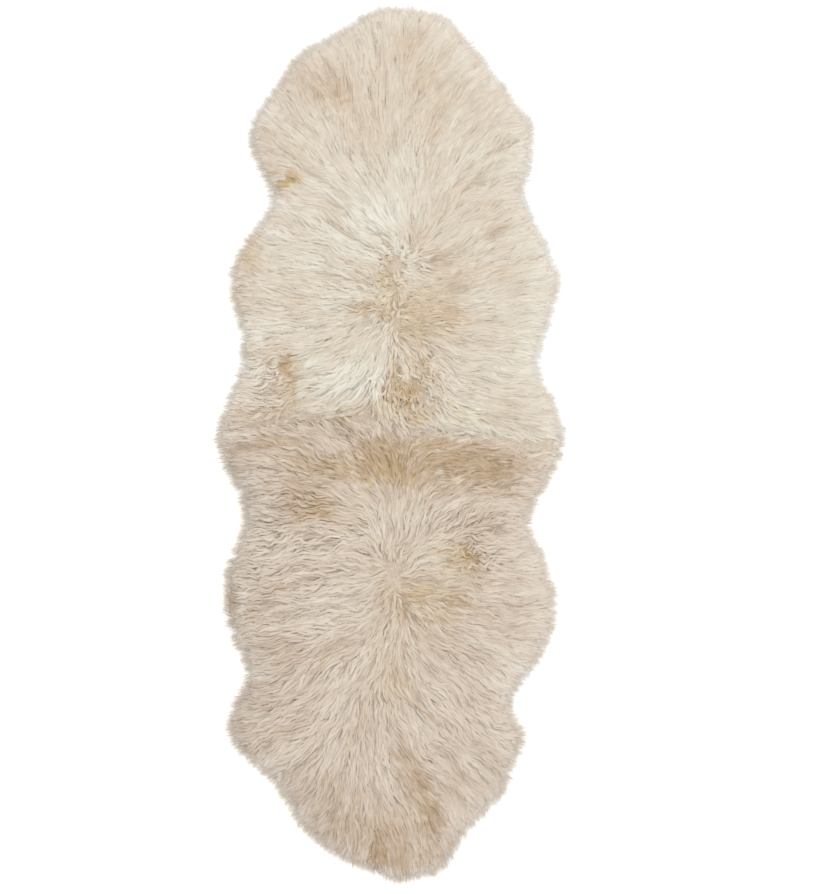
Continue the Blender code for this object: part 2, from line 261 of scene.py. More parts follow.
LOWER_PATCHES = [
    (-0.013, -0.022, 0.062, 0.041, -0.42, 0.26, 0.3),  # along the seam
    (-0.033, 0.001, 0.021, 0.016, -0.12, 0, 0.2),
    (0.008, -0.046, 0.027, 0.014, -0.16, 0, 0.2),
    (-0.21, 0.015, 0.062, 0.016, -0.1, 0.1, 0.1),
    (-0.247, 0.005, 0.025, 0.01, -0.18, 0.02, 0.1),
    (-0.305, -0.009, 0.045, 0.01, -0.22),
    (-0.288, 0.017, 0.082, 0.012, 0.1),
    (-0.169, -0.038, 0.053, 0.021, -0.18, 0.12, 0.1),
    (-0.132, -0.048, 0.027, 0.014, -0.14, 0.14, 0.1),
    (0.133, -0.024, 0.103, 0.033, -0.27, 0.22, 0.1),
    (0.071, 0.007, 0.07, 0.014, -0.18, 0.12, 0.1),
    (0.137, -0.052, 0.029, 0.016, -0.16, 0.1, 0.2),
    (0.209, -0.065, 0.062, 0.018, -0.34, 0.12, 0.1),
    (0.236, -0.034, 0.049, 0.025, -0.18, 0.08, 0.1),
    (0.32, -0.007, 0.041, 0.045, 0.12, 0.06),
    (-0.083, -0.042, 0.049, 0.029, -0.24, 0.16),
    (0.174, -0.135, 0.049, 0.041, 0.06),
    (0.071, -0.077, 0.07, 0.018, -0.12, 0.18, 0.1),
    (0.23, -0.1, 0.062, 0.012, -0.17, 0.16, 0.1),
    (-0.093, -0.069, 0.062, 0.021, -0.06, 0.14),
    (-0.317, -0.052, 0.029, 0.033, -0.18, -0.05),
    (-0.292, -0.114, 0.033, 0.053, -0.16, -0.02),
    (-0.175, -0.13, 0.047, 0.035, -0.09, 0.18, 0.2),  # brown patch on the left
    (-0.202, -0.104, 0.016, 0.01, -0.2, 0.04, 0.2),
    (-0.14, -0.12, 0.018, 0.008, -0.22, 0.04, 0.2),
    (-0.144, -0.147, 0.018, 0.008, -0.24, 0.04, 0.2),
    (0.162, -0.241, 0.027, 0.025, -0.4, 0.28, 0.9),  # curly patch on the right
    (0.127, -0.227, 0.029, 0.016, -0.04, 0.18, 0.8),
    (0.096, -0.215, 0.029, 0.01, -0.16, 0.18, 0.3, 10),
    (0.172, -0.283, 0.025, 0.021, -0.12, 0.18, 0.2),
    (0.147, -0.196, 0.049, 0.041, 0, 0.12, 0.3),
    (0.075, -0.291, 0.058, 0.025, -0.14, 0.24, 0.1),  # where the wool parts
    (0.047, -0.315, 0.037, 0.014, -0.14, 0.24, 0.2),
    (0.03, -0.344, 0.025, 0.021, -0.14, 0.22, 0.2),
    (0.102, -0.35, 0.041, 0.016, -0.12, 0.18, 0.1, -10),
    (0.143, -0.328, 0.033, 0.01, -0.12, 0.12, 0.1),
    (-0.017, -0.332, 0.012, 0.037, -0.12, 0.12, 0.1),
    (-0.325, -0.315, 0.016, 0.07, -0.34, -0.05),  # left edge
    (-0.288, -0.365, 0.031, 0.025, -0.12),
    (-0.278, -0.496, 0.045, 0.018, -0.18),
    (-0.313, -0.603, 0.029, 0.049, -0.26),
    (-0.264, -0.62, 0.045, 0.012, -0.12, 0.04, 0, 15),
    (-0.237, -0.285, 0.027, 0.01, -0.12, 0.06, 0.1, 20),
    (-0.225, -0.352, 0.029, 0.01, -0.12, 0.04, 0.1),
    (-0.099, -0.433, 0.033, 0.014, -0.12, 0.08, 0.1, 25),
    (-0.165, -0.468, 0.082, 0.033, -0.06, 0.02),
    (0.25, -0.274, 0.029, 0.025, -0.12, 0.02),  # right edge
    (0.26, -0.336, 0.029, 0.037, -0.1, -0.04),
    (0.314, -0.32, 0.021, 0.09, 0.08),
    (0.271, -0.447, 0.033, 0.045, 0.08),
    (0.232, -0.587, 0.018, 0.074, 0.08),
    (0.205, -0.679, 0.037, 0.058, -0.08, -0.1),
    (-0.212, -0.657, 0.029, 0.025, -0.1, -0.03),  # neck
    (-0.14, -0.731, 0.062, 0.053, -0.12, -0.02),
    (-0.103, -0.796, 0.066, 0.037, -0.14),
    (0.032, -0.64, 0.025, 0.014, -0.16, 0.08, 0.1, -20),
    (0.061, -0.689, 0.029, 0.033, -0.2, 0.08, 0.1, 24),
    (0.082, -0.743, 0.021, 0.021, -0.34, 0.14, 0.1),
    (0.088, -0.772, 0.027, 0.027, -0.26, 0.08, 0.1),
    (-0.023, -0.817, 0.016, 0.037, -0.22, 0.1, 0.1),
    (-0.025, -0.85, 0.029, 0.023, -0.32, 0.1, 0.1),
    (0.016, -0.784, 0.053, 0.025, -0.12, 0.1),
    (0.024, -0.846, 0.078, 0.033, -0.18, 0.06),
    (0.102, -0.833, 0.041, 0.033, -0.08),
    (0.143, -0.755, 0.029, 0.033, 0.12),
    (0.001, -0.71, 0.01, 0.049, 0.1),
    (-0.237, -0.007, 0.136, 0.045, -0.09, 0.05),  # broad shades
    (-0.011, -0.145, 0.144, 0.045, 0.05, 0.1),
    (-0.186, -0.207, 0.103, 0.049, 0.09, 0.02),
    (0.003, -0.061, 0.082, 0.033, -0.2, 0.2),
    (-0.161, -0.052, 0.082, 0.041, -0.06, 0.04),
    (-0.173, -0.133, 0.066, 0.049, -0.12, 0.1),
    (0.057, -0.71, 0.041, 0.07, -0.16, 0.04, 0, 15),
    (-0.155, -0.679, 0.09, 0.09, -0.06),
    (-0.093, -0.7, 0.049, 0.041, -0.06, 0.02),
    (0.143, -0.7, 0.041, 0.041, -0.05, 0.04),
    (0.143, -0.237, 0.103, 0.053, 0.05, 0.02),
    (-0.031, -0.803, 0.123, 0.062, -0.08),
    (0.287, -0.289, 0.045, 0.123, 0.09),
    (0.092, -0.381, 0.074, 0.07, -0.07, 0.06),
    (-0.011, -0.433, 0.144, 0.049, -0.06, 0.02),
    (0.133, -0.344, 0.045, 0.045, -0.1, 0.1),
    (-0.025, -0.186, 0.041, 0.037, 0.14),
    (0.082, -0.525, 0.049, 0.041, -0.05, 0.03),
    (0.256, -0.459, 0.041, 0.053, 0.14),
    (0.246, -0.145, 0.053, 0.045, 0.11),
    (-0.107, -0.34, 0.07, 0.041, 0.07),
    (0.143, -0.052, 0.123, 0.049, -0.1, 0.02),
    (0.184, -0.535, 0.062, 0.07, 0.08),
    (0.01, -0.494, 0.037, 0.049, -0.03, 0.3),
    (0.092, -0.268, 0.123, 0.123, 0, 0.12),
    (-0.001, -0.118, 0.103, 0.021, 0, 0.14),
    (-0.103, -0.248, 0.082, 0.074, 0.07),
    (-0.011, -0.402, 0.051, 0.123, 0, 0.1),
]
LOWER_FLEECE = Fleece(
    tone=0.56,
    hue=0.30,
    ruffle=0.62,
    patches=LOWER_PATCHES,
    ruffles=[
        Ruffle(-0.17, -0.20, 0.14, 0.45),
        Ruffle(0.14, -0.19, 0.08, 0.40),
        Ruffle(-0.02, -0.13, 0.05, -0.25),
        Ruffle(-0.17, -0.48, 0.14, 0.15),
        Ruffle(0.34, -0.25, 0.18, -0.40),  # right edge
        Ruffle(0.05, -0.80, 0.20, -0.15),
    ],
)


# -------- charts of the rug from above
CELL = 0.003
MARGIN = 0.05
GRID_X = np.arange(CAD_BOX[0].x - MARGIN, CAD_BOX[1].x + MARGIN, CELL)
GRID_Y = np.arange(CAD_BOX[0].y - MARGIN, CAD_BOX[1].y + MARGIN, CELL)
AT_X, AT_Y = np.meshgrid(GRID_X, GRID_Y)
SEAM_Y = (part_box("pelt_lower")[1].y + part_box("pelt_upper")[0].y) / 2


def read(chart, x, y):
    """The chart's value at each (x, y), blended between its grid points."""
    u = np.clip((x - GRID_X[0]) / CELL, 0, len(GRID_X) - 1.001)
    v = np.clip((y - GRID_Y[0]) / CELL, 0, len(GRID_Y) - 1.001)
    i, j = u.astype(int), v.astype(int)
    u, v = u - i, v - j
    near = chart[j, i] * (1 - u) + chart[j, i + 1] * u
    far = chart[j + 1, i] * (1 - u) + chart[j + 1, i + 1] * u
    return near * (1 - v) + far * v


def free_edges(node):
    """The edges of a pelt's flat underside, apart from those along the seam: ends by (x, y)."""
    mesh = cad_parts[node].data
    mesh.calc_loop_triangles()
    points = np.array([v.co for v in mesh.vertices])
    corners = np.array([t.vertices for t in mesh.loop_triangles])
    corners = corners[(points[corners, 2] < 1e-5).all(1)]
    places, index = np.unique(np.round(points[:, :2], 5), axis=0, return_inverse=True)
    index = index.reshape(-1)
    pairs = index[corners][:, [[0, 1], [1, 2], [2, 0]]].reshape(-1, 2)
    pairs, count = np.unique(np.sort(pairs, axis=1), axis=0, return_counts=True)
    edges = places[pairs[count == 1]]
    at_seam = np.abs(edges[:, :, 1] - SEAM_Y) < 1e-3
    edges[at_seam, 1] = SEAM_Y
    return edges[~at_seam.all(1)]


def outline_distance():
    """How far each grid point is inside the wool's outline, negative outside it."""
    nearest = np.full(AT_X.shape, np.inf)
    inside = np.zeros(AT_X.shape, bool)
    edges = np.concatenate([free_edges("pelt_upper"), free_edges("pelt_lower")])
    for (x0, y0), (x1, y1) in edges:
        dx, dy = x1 - x0, y1 - y0
        share = ((AT_X - x0) * dx + (AT_Y - y0) * dy) / (dx * dx + dy * dy)
        share = np.clip(share, 0, 1)
        gap = np.hypot(AT_X - x0 - share * dx, AT_Y - y0 - share * dy)
        nearest = np.minimum(nearest, gap)
        if dy:
            crossed = (AT_Y >= min(y0, y1)) & (AT_Y < max(y0, y1))
            inside ^= crossed & (AT_X < x0 + (AT_Y - y0) * dx / dy)
    return np.where(inside, nearest, -nearest)


def pile_heights():
    """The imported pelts' height over the floor at each grid point."""
    graph = bpy.context.evaluated_depsgraph_get()
    trees = [BVHTree.FromObject(node, graph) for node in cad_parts.values()]
    down, start = Vector((0, 0, -1)), CAD_BOX[1].z + 1
    heights = np.zeros(AT_X.shape)
    for (j, i), depth in np.ndenumerate(DEPTH):
        if depth > 0:
            above = Vector((AT_X[j, i], AT_Y[j, i], start))
            hits = [tree.ray_cast(above, down)[0] for tree in trees]
            heights[j, i] = max((hit.z for hit in hits if hit), default=0)
    return heights


def ripples(size, seed, waves=28):
    """A smooth random pattern with features about size long, of mean 0 and deviation 1."""
    rng = np.random.default_rng(seed)
    turn, phase = rng.uniform(0, 2 * np.pi, (2, waves))
    pitch = 2 * np.pi / size * rng.uniform(0.55, 1.45, waves)
    kx, ky = pitch * np.cos(turn), pitch * np.sin(turn)

    def pattern(x, y):
        total = np.zeros(np.shape(x))
        for a, b, c in zip(kx, ky, phase):
            total += np.cos(a * x + b * y + c)
        return total * np.sqrt(2 / waves)

    return pattern


def smoothstep(low, high, value):
    t = np.clip((value - low) / (high - low), 0, 1)
    return t * t * (3 - 2 * t)


FRAY = ripples(0.022, SEED)
DEPTH = outline_distance()
SLOPE_Y, SLOPE_X = np.gradient(DEPTH, CELL)
PILE = pile_heights()


def comb_chart(rows):
    """cos and sin of the comb's heading at each grid point, from a table of cross-lines."""
    rows = sorted(rows)
    charts = []
    for part in (np.cos, np.sin):
        lines = [np.interp(GRID_X, COMB_X, part(np.radians(row.headings))) for row in rows]
        ys = [row.y for row in rows]
        charts.append(np.array([np.interp(GRID_Y, ys, c) for c in np.transpose(lines)]).T)
    return charts


def outward(cos, sin):
    """Turns the combed direction towards the rug's outline close to it."""
    size = np.hypot(cos, sin) + 1e-9
    cos, sin = cos / size, sin / size
    push = OUTWARD_PUSH * smoothstep(*OUTWARD_PUSH_DEPTHS, DEPTH)
    cos, sin = cos - push * SLOPE_X, sin - push * SLOPE_Y
    size = np.hypot(cos, sin) + 1e-9
    return cos / size, sin / size


def fleece_charts(fleece):
    """The tone, hue, ruffle and curl of a pelt's wool at each grid point."""
    tone = np.full(AT_X.shape, fleece.tone)
    hue = np.full(AT_X.shape, fleece.hue)
    curl = np.zeros(AT_X.shape)
    frayed = np.exp(PATCH_FRAY * FRAY(AT_X, AT_Y))
    for row in fleece.patches:
        patch = Patch(*row)
        turn = np.radians(patch.turn)
        dx, dy = AT_X - patch.x, AT_Y - patch.y
        u = (dx * np.cos(turn) + dy * np.sin(turn)) / patch.across
        v = (dy * np.cos(turn) - dx * np.sin(turn)) / patch.along
        reach = np.exp(-(((u * u + v * v) * frayed) ** 1.5))
        tone += patch.tone * reach
        hue += patch.hue * reach
        curl += patch.curl * reach
    ruffle = np.full(AT_X.shape, fleece.ruffle)
    for spot in fleece.ruffles:
        away = np.hypot(AT_X - spot.x, AT_Y - spot.y) / spot.reach
        ruffle += spot.amount * np.exp(-away * away)
    ruffle *= smoothstep(*SLEEK_EDGE, DEPTH)
    at_left = smoothstep(*LEFT_HUE_X, AT_X)
    hue += LEFT_HUE * at_left * smoothstep(*LEFT_HUE_DEPTHS, DEPTH)
    hue += TIP_HUE * smoothstep(*TIP_HUE_DEPTHS, DEPTH)
    # painted light: paler wool in the thin fringe at the outline
    tone += RIM_PAINTED_LIGHT * smoothstep(*RIM_PAINTED_LIGHT_DEPTHS, DEPTH)
    return tone, hue, np.clip(ruffle, 0, 1.2), curl


FLEECES = {"upper": fleece_charts(UPPER_FLEECE), "lower": fleece_charts(LOWER_FLEECE)}


# -------- materials
def linear(red, green, blue):
    """The linear colour of an 8-bit sRGB one."""
    value = np.array([red, green, blue]) / 255
    dark = value / 12.92
    bright = ((value + 0.055) / 1.055) ** 2.4
    return (*np.where(value <= 0.04045, dark, bright), 1.0)


class Nodes:
    """A new material, with short ways to add nodes to it and to feed its shader."""

    def __init__(self, name):
        self.material = bpy.data.materials.new(name)
        self.material.use_nodes = True
        self.tree = self.material.node_tree
        self.shader = self.tree.nodes["Principled BSDF"]

    def add(self, kind, inputs=None, **settings):
        node = self.tree.nodes.new("ShaderNode" + kind)
        for key, value in settings.items():
            setattr(node, key, value)
        for key, value in (inputs or {}).items():
            self.feed(node.inputs[key], value)
        return node

    def feed(self, socket, value):
        if isinstance(value, bpy.types.NodeSocket):
            self.tree.links.new(value, socket)
        else:
            socket.default_value = value

    def ramp(self, factor, stops):
        node = self.add("ValToRGB", {"Fac": factor})
        band = node.color_ramp
        while len(band.elements) < len(stops):
            band.elements.new(0.5)
        for element, (place, colour) in zip(band.elements, stops):
            element.position = place
            element.color = colour
        return node.outputs["Color"]

    def streaks(self, vector, scale, detail):
        """A two-dimensional noise over a map, with its own scale along each of its sides."""
        drawn_out = self.add("Mapping", {"Vector": vector, "Scale": (*scale, 1.0)}).outputs[0]
        noise = {"Vector": drawn_out, "Scale": 1.0, "Detail": detail}
        return self.add("TexNoise", noise, noise_dimensions="2D").outputs[0]

    def surface(self, colour, roughness, specular):
        self.feed(self.shader.inputs["Base Color"], colour)
        self.shader.inputs["Roughness"].default_value = roughness
        self.shader.inputs["Specular IOR Level"].default_value = specular

    def relief(self, height, strength, distance):
        bump = self.add("Bump", {"Height": height, "Strength": strength, "Distance": distance})
        self.feed(self.shader.inputs["Normal"], bump.outputs[0])

    def math(self, operation, *values):
        return self.add("Math", dict(enumerate(values)), operation=operation).outputs[0]

    def mix(self, factor, a, b, blend="MIX"):
        node = self.add("Mix", data_type="RGBA", blend_type=blend)
        sockets = {s.identifier: s for s in node.inputs}
        self.feed(sockets["Factor_Float"], factor)
        self.feed(sockets["A_Color"], a)
        self.feed(sockets["B_Color"], b)
        return next(s for s in node.outputs if s.identifier == "Result_Color")


# On the palette map u is a wisp's hue, with a slight drift across it, and v its tone. The strand
# map is in about millimetres across and along a wisp.
PALETTE_MAP = "OFBake"
STRAND_MAP = "Strand"
# The wool's shades from dark to pale, as they look on the lit rug. The wisps shade each other, so
# a wisp's own colour has to be paler than the shade that is seen.
ASHEN = [(165, 151, 135), (183, 171, 157), (199, 189, 176), (214, 205, 191), (221, 219, 213)]
ROSY = [(173, 150, 126), (190, 170, 149), (205, 188, 170), (217, 204, 187), (230, 219, 204)]
GOLDEN = [(177, 153, 120), (194, 172, 143), (207, 190, 167), (215, 205, 187), (230, 220, 203)]
AMBER = [(174, 150, 110), (193, 171, 133), (207, 188, 153), (219, 206, 178), (230, 219, 196)]
LIGHT_LEFT = (0.75, 0.74, 0.71)  # of white wool's red, green and blue, what the shading leaves
SHADING_DEPTH = (1.28, 1.20, 1.12)  # the power by which it deepens darker wool


def own_colour(shade):
    """The linear colour of wool that shows this 8-bit shade on the rug."""
    seen = np.array(linear(*shade)[:3])
    own = (seen / np.array(LIGHT_LEFT)) ** (1 / np.array(SHADING_DEPTH))
    return (*np.minimum(own, 1.0), 1.0)


def wool_material():
    """Wool whose colour a wisp's own place on the palette gives, with fine fibres along it and
    painted shade in thin dark lines between them.
    """
    m = Nodes("wool")
    palette = m.add("UVMap", uv_map=PALETTE_MAP).outputs["UV"]
    place = m.add("SeparateXYZ", {0: palette})
    colour = None
    for step, family in enumerate((ASHEN, ROSY, GOLDEN, AMBER)):
        shares = np.linspace(0, 1, len(family))
        stops = [(share, own_colour(shade)) for share, shade in zip(shares, family)]
        tones = m.ramp(place.outputs["Y"], stops)
        if step:
            nearness = m.math("MULTIPLY_ADD", place.outputs["X"], 3.0, 1.0 - step)
            tones = m.mix(nearness, colour, tones)
        colour = tones
    # Painted shade: thin darker lines along each wisp stand in for the shade between its strands.
    strands = m.streaks(palette, (90.0, 3.0), 2.0)
    painted_strand_shade = m.ramp(strands, [(0.34, linear(238, 229, 218)), (0.58, linear(255, 255, 255))])
    depth = m.math("MULTIPLY_ADD", place.outputs["Y"], -1.1, 1.35)  # how deep the painted shade between strands is: deep in dark wool, shallow in pale wool
    m.surface(m.mix(depth, colour, painted_strand_shade, "MULTIPLY"), roughness=0.8, specular=0.12)
    strand = m.add("UVMap", uv_map=STRAND_MAP).outputs["UV"]
    m.relief(m.streaks(strand, (1.6, 0.05), 3.0), strength=0.2, distance=0.0004)
    return m.material


def underwool_material():
    m = Nodes("underwool")
    where = m.add("TexCoord").outputs["Object"]
    noise = {"Vector": where, "Scale": 160.0, "Detail": 6.0, "Distortion": 1.5}
    tangle = m.add("TexNoise", noise).outputs[0]
    colour = m.ramp(tangle, [(0.3, linear(220, 201, 178)), (0.7, linear(243, 230, 212))])
    m.surface(colour, roughness=0.95, specular=0.1)
    m.relief(tangle, strength=0.8, distance=0.004)
    return m.material


def hide_material():
    m = Nodes("hide")
    where = m.add("TexCoord").outputs["Object"]
    blotches = m.add("TexNoise", {"Vector": where, "Scale": 9.0, "Detail": 5.0}).outputs[0]
    nap = m.add("TexNoise", {"Vector": where, "Scale": 900.0, "Detail": 3.0}).outputs[0]
    colour = m.ramp(blotches, [(0.3, linear(214, 203, 184)), (0.7, linear(232, 225, 210))])
    m.surface(colour, roughness=0.85, specular=0.2)
    m.relief(nap, strength=0.4, distance=0.0003)
    return m.material


WOOL = wool_material()
UNDERWOOL = underwool_material()
HIDE = hide_material()


# -------- meshes
def mesh_piece(name, points, faces, material, uvs=None):
    """A new object. faces are tables of corners, a row a face; uvs are the points' places."""
    mesh = bpy.data.meshes.new(name)
    mesh.vertices.add(len(points))
    mesh.vertices.foreach_set("co", np.asarray(points, np.float32).ravel())
    corners = np.concatenate([f.ravel() for f in faces]).astype(np.int32)
    sizes = np.concatenate([np.full(len(f), f.shape[1]) for f in faces])
    starts = np.concatenate([[0], np.cumsum(sizes)[:-1]]).astype(np.int32)
    mesh.loops.add(len(corners))
    mesh.loops.foreach_set("vertex_index", corners)
    mesh.polygons.add(len(sizes))
    mesh.polygons.foreach_set("loop_start", starts)
    mesh.update(calc_edges=True)
    for layer, places in (uvs or {}).items():
        chart = mesh.uv_layers.new(name=layer)
        chart.uv.foreach_set("vector", places[corners].astype(np.float32).ravel())
    mesh.validate()
    mesh.shade_smooth()
    mesh.materials.append(material)
    piece = bpy.data.objects.new(name, mesh)
    bpy.context.scene.collection.objects.link(piece)
    return piece


def edge_of(inset, near, far, rows):
    """Left and right ends of cross-lines from near to far, where the wool's outline is inset."""
    ys = near + (far - near) * np.linspace(0, 1, rows)
    ends = []
    for y in ys:
        line = read(DEPTH, GRID_X, np.full(len(GRID_X), y)) - inset
        held = np.flatnonzero(line > 0)
        if not len(held):
            ends.append((np.nan, np.nan))
            continue
        i, j = held[0], held[-1]
        crossings = ([i - 1, i], [j + 1, j])
        ends.append([np.interp(0, line[pair], GRID_X[pair]) for pair in crossings])
    ends = np.array(ends)
    held = ~np.isnan(ends[:, 0])
    return ys[held], ends[held, 0], ends[held, 1]


def slab(name, pelt, inset, heights, material, rows, columns):
    """A closed piece over one pelt, inset from the wool's outline. heights(x, y) gives its
    underside and its top."""
    heading = 1 if pelt == "upper" else -1
    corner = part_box("pelt_" + pelt)
    far = corner[1].y if heading > 0 else corner[0].y
    ys, left, right = edge_of(inset, SEAM_Y + heading * 0.0004, far, rows)
    share = np.linspace(-1, 1, columns)
    share = 0.5 * share + 0.5 * np.sin(share * np.pi / 2)
    x = (left + right)[:, None] / 2 + (right - left)[:, None] / 2 * share
    y = np.repeat(ys[:, None], columns, axis=1)
    under, top = heights(x, y)
    points = np.concatenate([np.stack([x, y, z], -1).reshape(-1, 3) for z in (top, under)])
    index = np.arange(x.size).reshape(x.shape)
    corners = [index[:-1, :-1], index[:-1, 1:], index[1:, 1:], index[1:, :-1]]
    quads = np.stack(corners, -1).reshape(-1, 4)
    rim = np.concatenate([index[0, :-1], index[:-1, -1], index[-1, :0:-1], index[:0:-1, 0]])
    after = np.roll(rim, -1)
    side = np.stack([after, rim, rim + x.size, after + x.size], -1)
    if heading < 0:
        quads, side = quads[:, ::-1], side[:, ::-1]
    faces = [np.concatenate([quads, quads[:, ::-1] + x.size, side])]
    return mesh_piece(name, points, faces, material)


# -------- wool
# spacing is between locks, whose roots lie from nearest to farthest inside the outline. A lock's
# wisps lie side by side over twice its spread, gathered towards the tip, in a low dome. They
# start at some share of the lock's length, stand rise above the underwool, and roll and stray by
# so many degrees. They end where the outline is as near as past, or up to thin beyond that.
Layer = namedtuple(
    "Layer",
    "name spacing nearest farthest per_lock width segments start spread gather dome rise roll stray"
    " past thin",
)
LAYERS = [
    Layer(
        name="ground", spacing=0.0104, nearest=0.036, farthest=1, per_lock=1,
        width=(0.0070, 0.0095), segments=5, start=(0.00, 0.10), spread=0.0030, gather=0.2,
        dome=0.000, rise=(0.001, 0.004), roll=6, stray=4, past=0.036, thin=0.018,
    ),
    Layer(
        name="lock", spacing=0.0108, nearest=0.036, farthest=1, per_lock=3,
        width=(0.0042, 0.0070), segments=8, start=(0.05, 0.24), spread=0.0058, gather=0.60,
        dome=0.0030, rise=(0.0028, 0.0074), roll=8, stray=3, past=0.036, thin=0.026,
    ),
    Layer(
        name="strand", spacing=0.0110, nearest=0.036, farthest=1, per_lock=2,
        width=(0.0012, 0.0024), segments=7, start=(0.06, 0.40), spread=0.0052, gather=0.2,
        dome=0.001, rise=(0.0040, 0.0075), roll=14, stray=5, past=0.030, thin=0.033,
    ),
    Layer(
        name="rim", spacing=0.0045, nearest=0.034, farthest=0.050, per_lock=7,
        width=(0.0003, 0.0011), segments=4, start=(0.10, 0.30), spread=0.0045, gather=0.0,
        dome=0.000, rise=(0.001, 0.007), roll=40, stray=9, past=0.020, thin=0.0358,
    ),
]
PIECE_TRIANGLES = 190_000
HUE_PER_METRE = 6.0  # the hue's drift across a wisp, which sets its strands apart
HIGHEST = 0.0555  # no wisp stands higher over the floor
LOWEST = 0.0012  # nor lower, by its middle
LOWEST_EDGE = 0.0004  # nor by its edges

SWELL_HEIGHT = 0.0025  # of the underwool, in broad swells
RIDGE_HEIGHT = 0.0018  # of what the wisps lie on, in ridges along the comb
SUNK_ROOT = 0.006  # how far under the underwool's top a wisp starts, away from the outline
TUCK = 0.010  # how much lower a wisp lies under the other pelt's wool

LOCK_JITTER = 0.45  # of the spacing
PARTING_SPREAD = (3, 25)  # of the comb, a metre: from none to all places get a second lock
LOCK_SIZE = (0.75, 1.3)  # its share of the layer's width and spread
LOCK_WAVE = (0.022, 0.034)  # how long a lock's waves are
WISP_WAVE = (0.020, 0.038)  # and a wisp's own
WISP_WAVE_HEIGHT = (0.0001, 0.0006)
WISP_REACH = (0.74, 1.14)  # where a wisp ends, as a share of its lock's length
COLOUR_SHIFT = 0.004  # how far from its place a lock's colours are taken

# Where one pelt's wool ends on the other's: so far over the seam at each x, and the lower pelt's
# wool on top where that is positive.
SEAM_LAP_X = (-0.36, -0.28, -0.20, -0.04, 0.00, 0.04, 0.10, 0.20, 0.25, 0.34)
SEAM_LAP = (-0.003, 0.012, 0.030, 0.032, 0.004, -0.008, 0.000, -0.018, -0.032, -0.044)
LAP_FRAY = 0.007
LAP_BLEND = 0.018  # the tuck grows from nothing to all over this far on either side

Locks = namedtuple("Locks", "length size shift tone curl ruffle path")


def underwool_height(x, y):
    """The top of the dense wool, in which the wisps stand."""
    depth = read(DEPTH, x, y)
    swell = SWELL_HEIGHT * SWELL(x, y) * smoothstep(0.01, 0.06, depth)
    height = UNDERWOOL_SHARE * read(PILE, x, y) + swell
    return np.maximum(height, 0.002) * smoothstep(-0.004, 0.02, depth)


SWELL = ripples(0.06, SEED + 1)
WANDER = ripples(0.085, SEED + 2)


def blurred(chart, rounds):
    for _ in range(rounds):
        for axis in (0, 1):
            chart = (np.roll(chart, 1, axis) + 2 * chart + np.roll(chart, -1, axis)) / 4
    return chart


def combed(comb, rng, reach, rounds, less=None):
    """A random pattern of mean 0 and deviation 1, blurred so many rounds and drawn out over reach
    either way along the comb. less takes away its broad swells, so that waves are left."""
    cos, sin = comb
    grain = blurred(rng.normal(size=AT_X.shape), rounds)
    if less:
        grain -= blurred(grain, less)
    total = grain.copy()
    for way in (-CELL, CELL):
        x, y = AT_X, AT_Y
        for _ in range(int(reach / CELL)):
            x, y = x + way * read(cos, x, y), y + way * read(sin, x, y)
            total += read(grain, x, y)
    return (total - total.mean()) / total.std()


class Pelt:
    """One pelt's charts: the lie of its wool, how orderly it lies, its colours and streaks."""

    def __init__(self, name, rows, rng):
        self.name = name
        self.heading = 1 if name == "upper" else -1
        cos, sin = comb_chart(rows)
        order = blurred(np.hypot(cos, sin), 4)  # 1 where the comb runs one way, less at partings
        self.comb = outward(cos, sin)
        tone, hue, self.ruffle, curl = FLEECES[name]
        there = FLEECES["lower" if name == "upper" else "upper"]
        tucked = self.tucked(AT_X, AT_Y)  # there it takes on the other's colours
        self.tone = tone + (there[0] - tone) * tucked
        self.hue = hue + (there[1] - hue) * tucked
        self.curl = np.clip(curl + np.clip(1.0 - 1.4 * order, 0, 0.5), 0, 1)
        spread_x = np.gradient(blurred(self.comb[0], 4), CELL)[1]
        spread_y = np.gradient(blurred(self.comb[1], 4), CELL)[0]
        self.parting = spread_x + spread_y
        square = (-self.comb[1], self.comb[0])
        self.crimp = combed(square, rng, reach=0.018, rounds=4, less=20)
        self.ridges = combed(self.comb, rng, reach=0.045, rounds=6)
        self.streaks = combed(self.comb, rng, reach=0.035, rounds=3)
        self.shades = combed(self.comb, rng, reach=0.050, rounds=14)

    def owns(self, y):
        return (y - SEAM_Y) * self.heading > 0

    def surface(self, x, y):
        """What the wisps lie on: the underwool's top, with ridges along the comb."""
        depth = read(DEPTH, x, y)
        ridge = RIDGE_HEIGHT * read(self.ridges, x, y) * smoothstep(0.0, 0.05, depth)
        return underwool_height(x, y) + ridge

    def tucked(self, x, y):
        """How far this pelt's wool lies under the other's along the seam, from 0 to 1."""
        line = SEAM_Y + np.interp(x, SEAM_LAP_X, SEAM_LAP) + LAP_FRAY * FRAY(x, y)
        return smoothstep(-LAP_BLEND, LAP_BLEND, (line - y) * self.heading)


def lock_roots(pelt, layer, rng):
    """Jittered places of locks on a pelt's hide, closer together where the wool parts."""
    low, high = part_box("pelt_" + pelt.name)
    places = []
    for extra in (False, True):
        step = layer.spacing
        xs = np.arange(low.x, high.x, step)
        ys = np.arange(low.y, high.y, step * 0.866)
        x, y = np.meshgrid(xs, ys)
        x[1::2] += step / 2
        x = x.ravel() + rng.uniform(-LOCK_JITTER, LOCK_JITTER, x.size) * step
        y = y.ravel() + rng.uniform(-LOCK_JITTER, LOCK_JITTER, y.size) * step
        depth = read(DEPTH, x, y)
        keep = (depth > layer.nearest) & (depth < layer.farthest) & pelt.owns(y)
        if extra:
            keep &= rng.uniform(*PARTING_SPREAD, x.size) < read(pelt.parting, x, y)
        places.append(np.stack([x[keep], y[keep]]))
    return np.concatenate(places, axis=1)


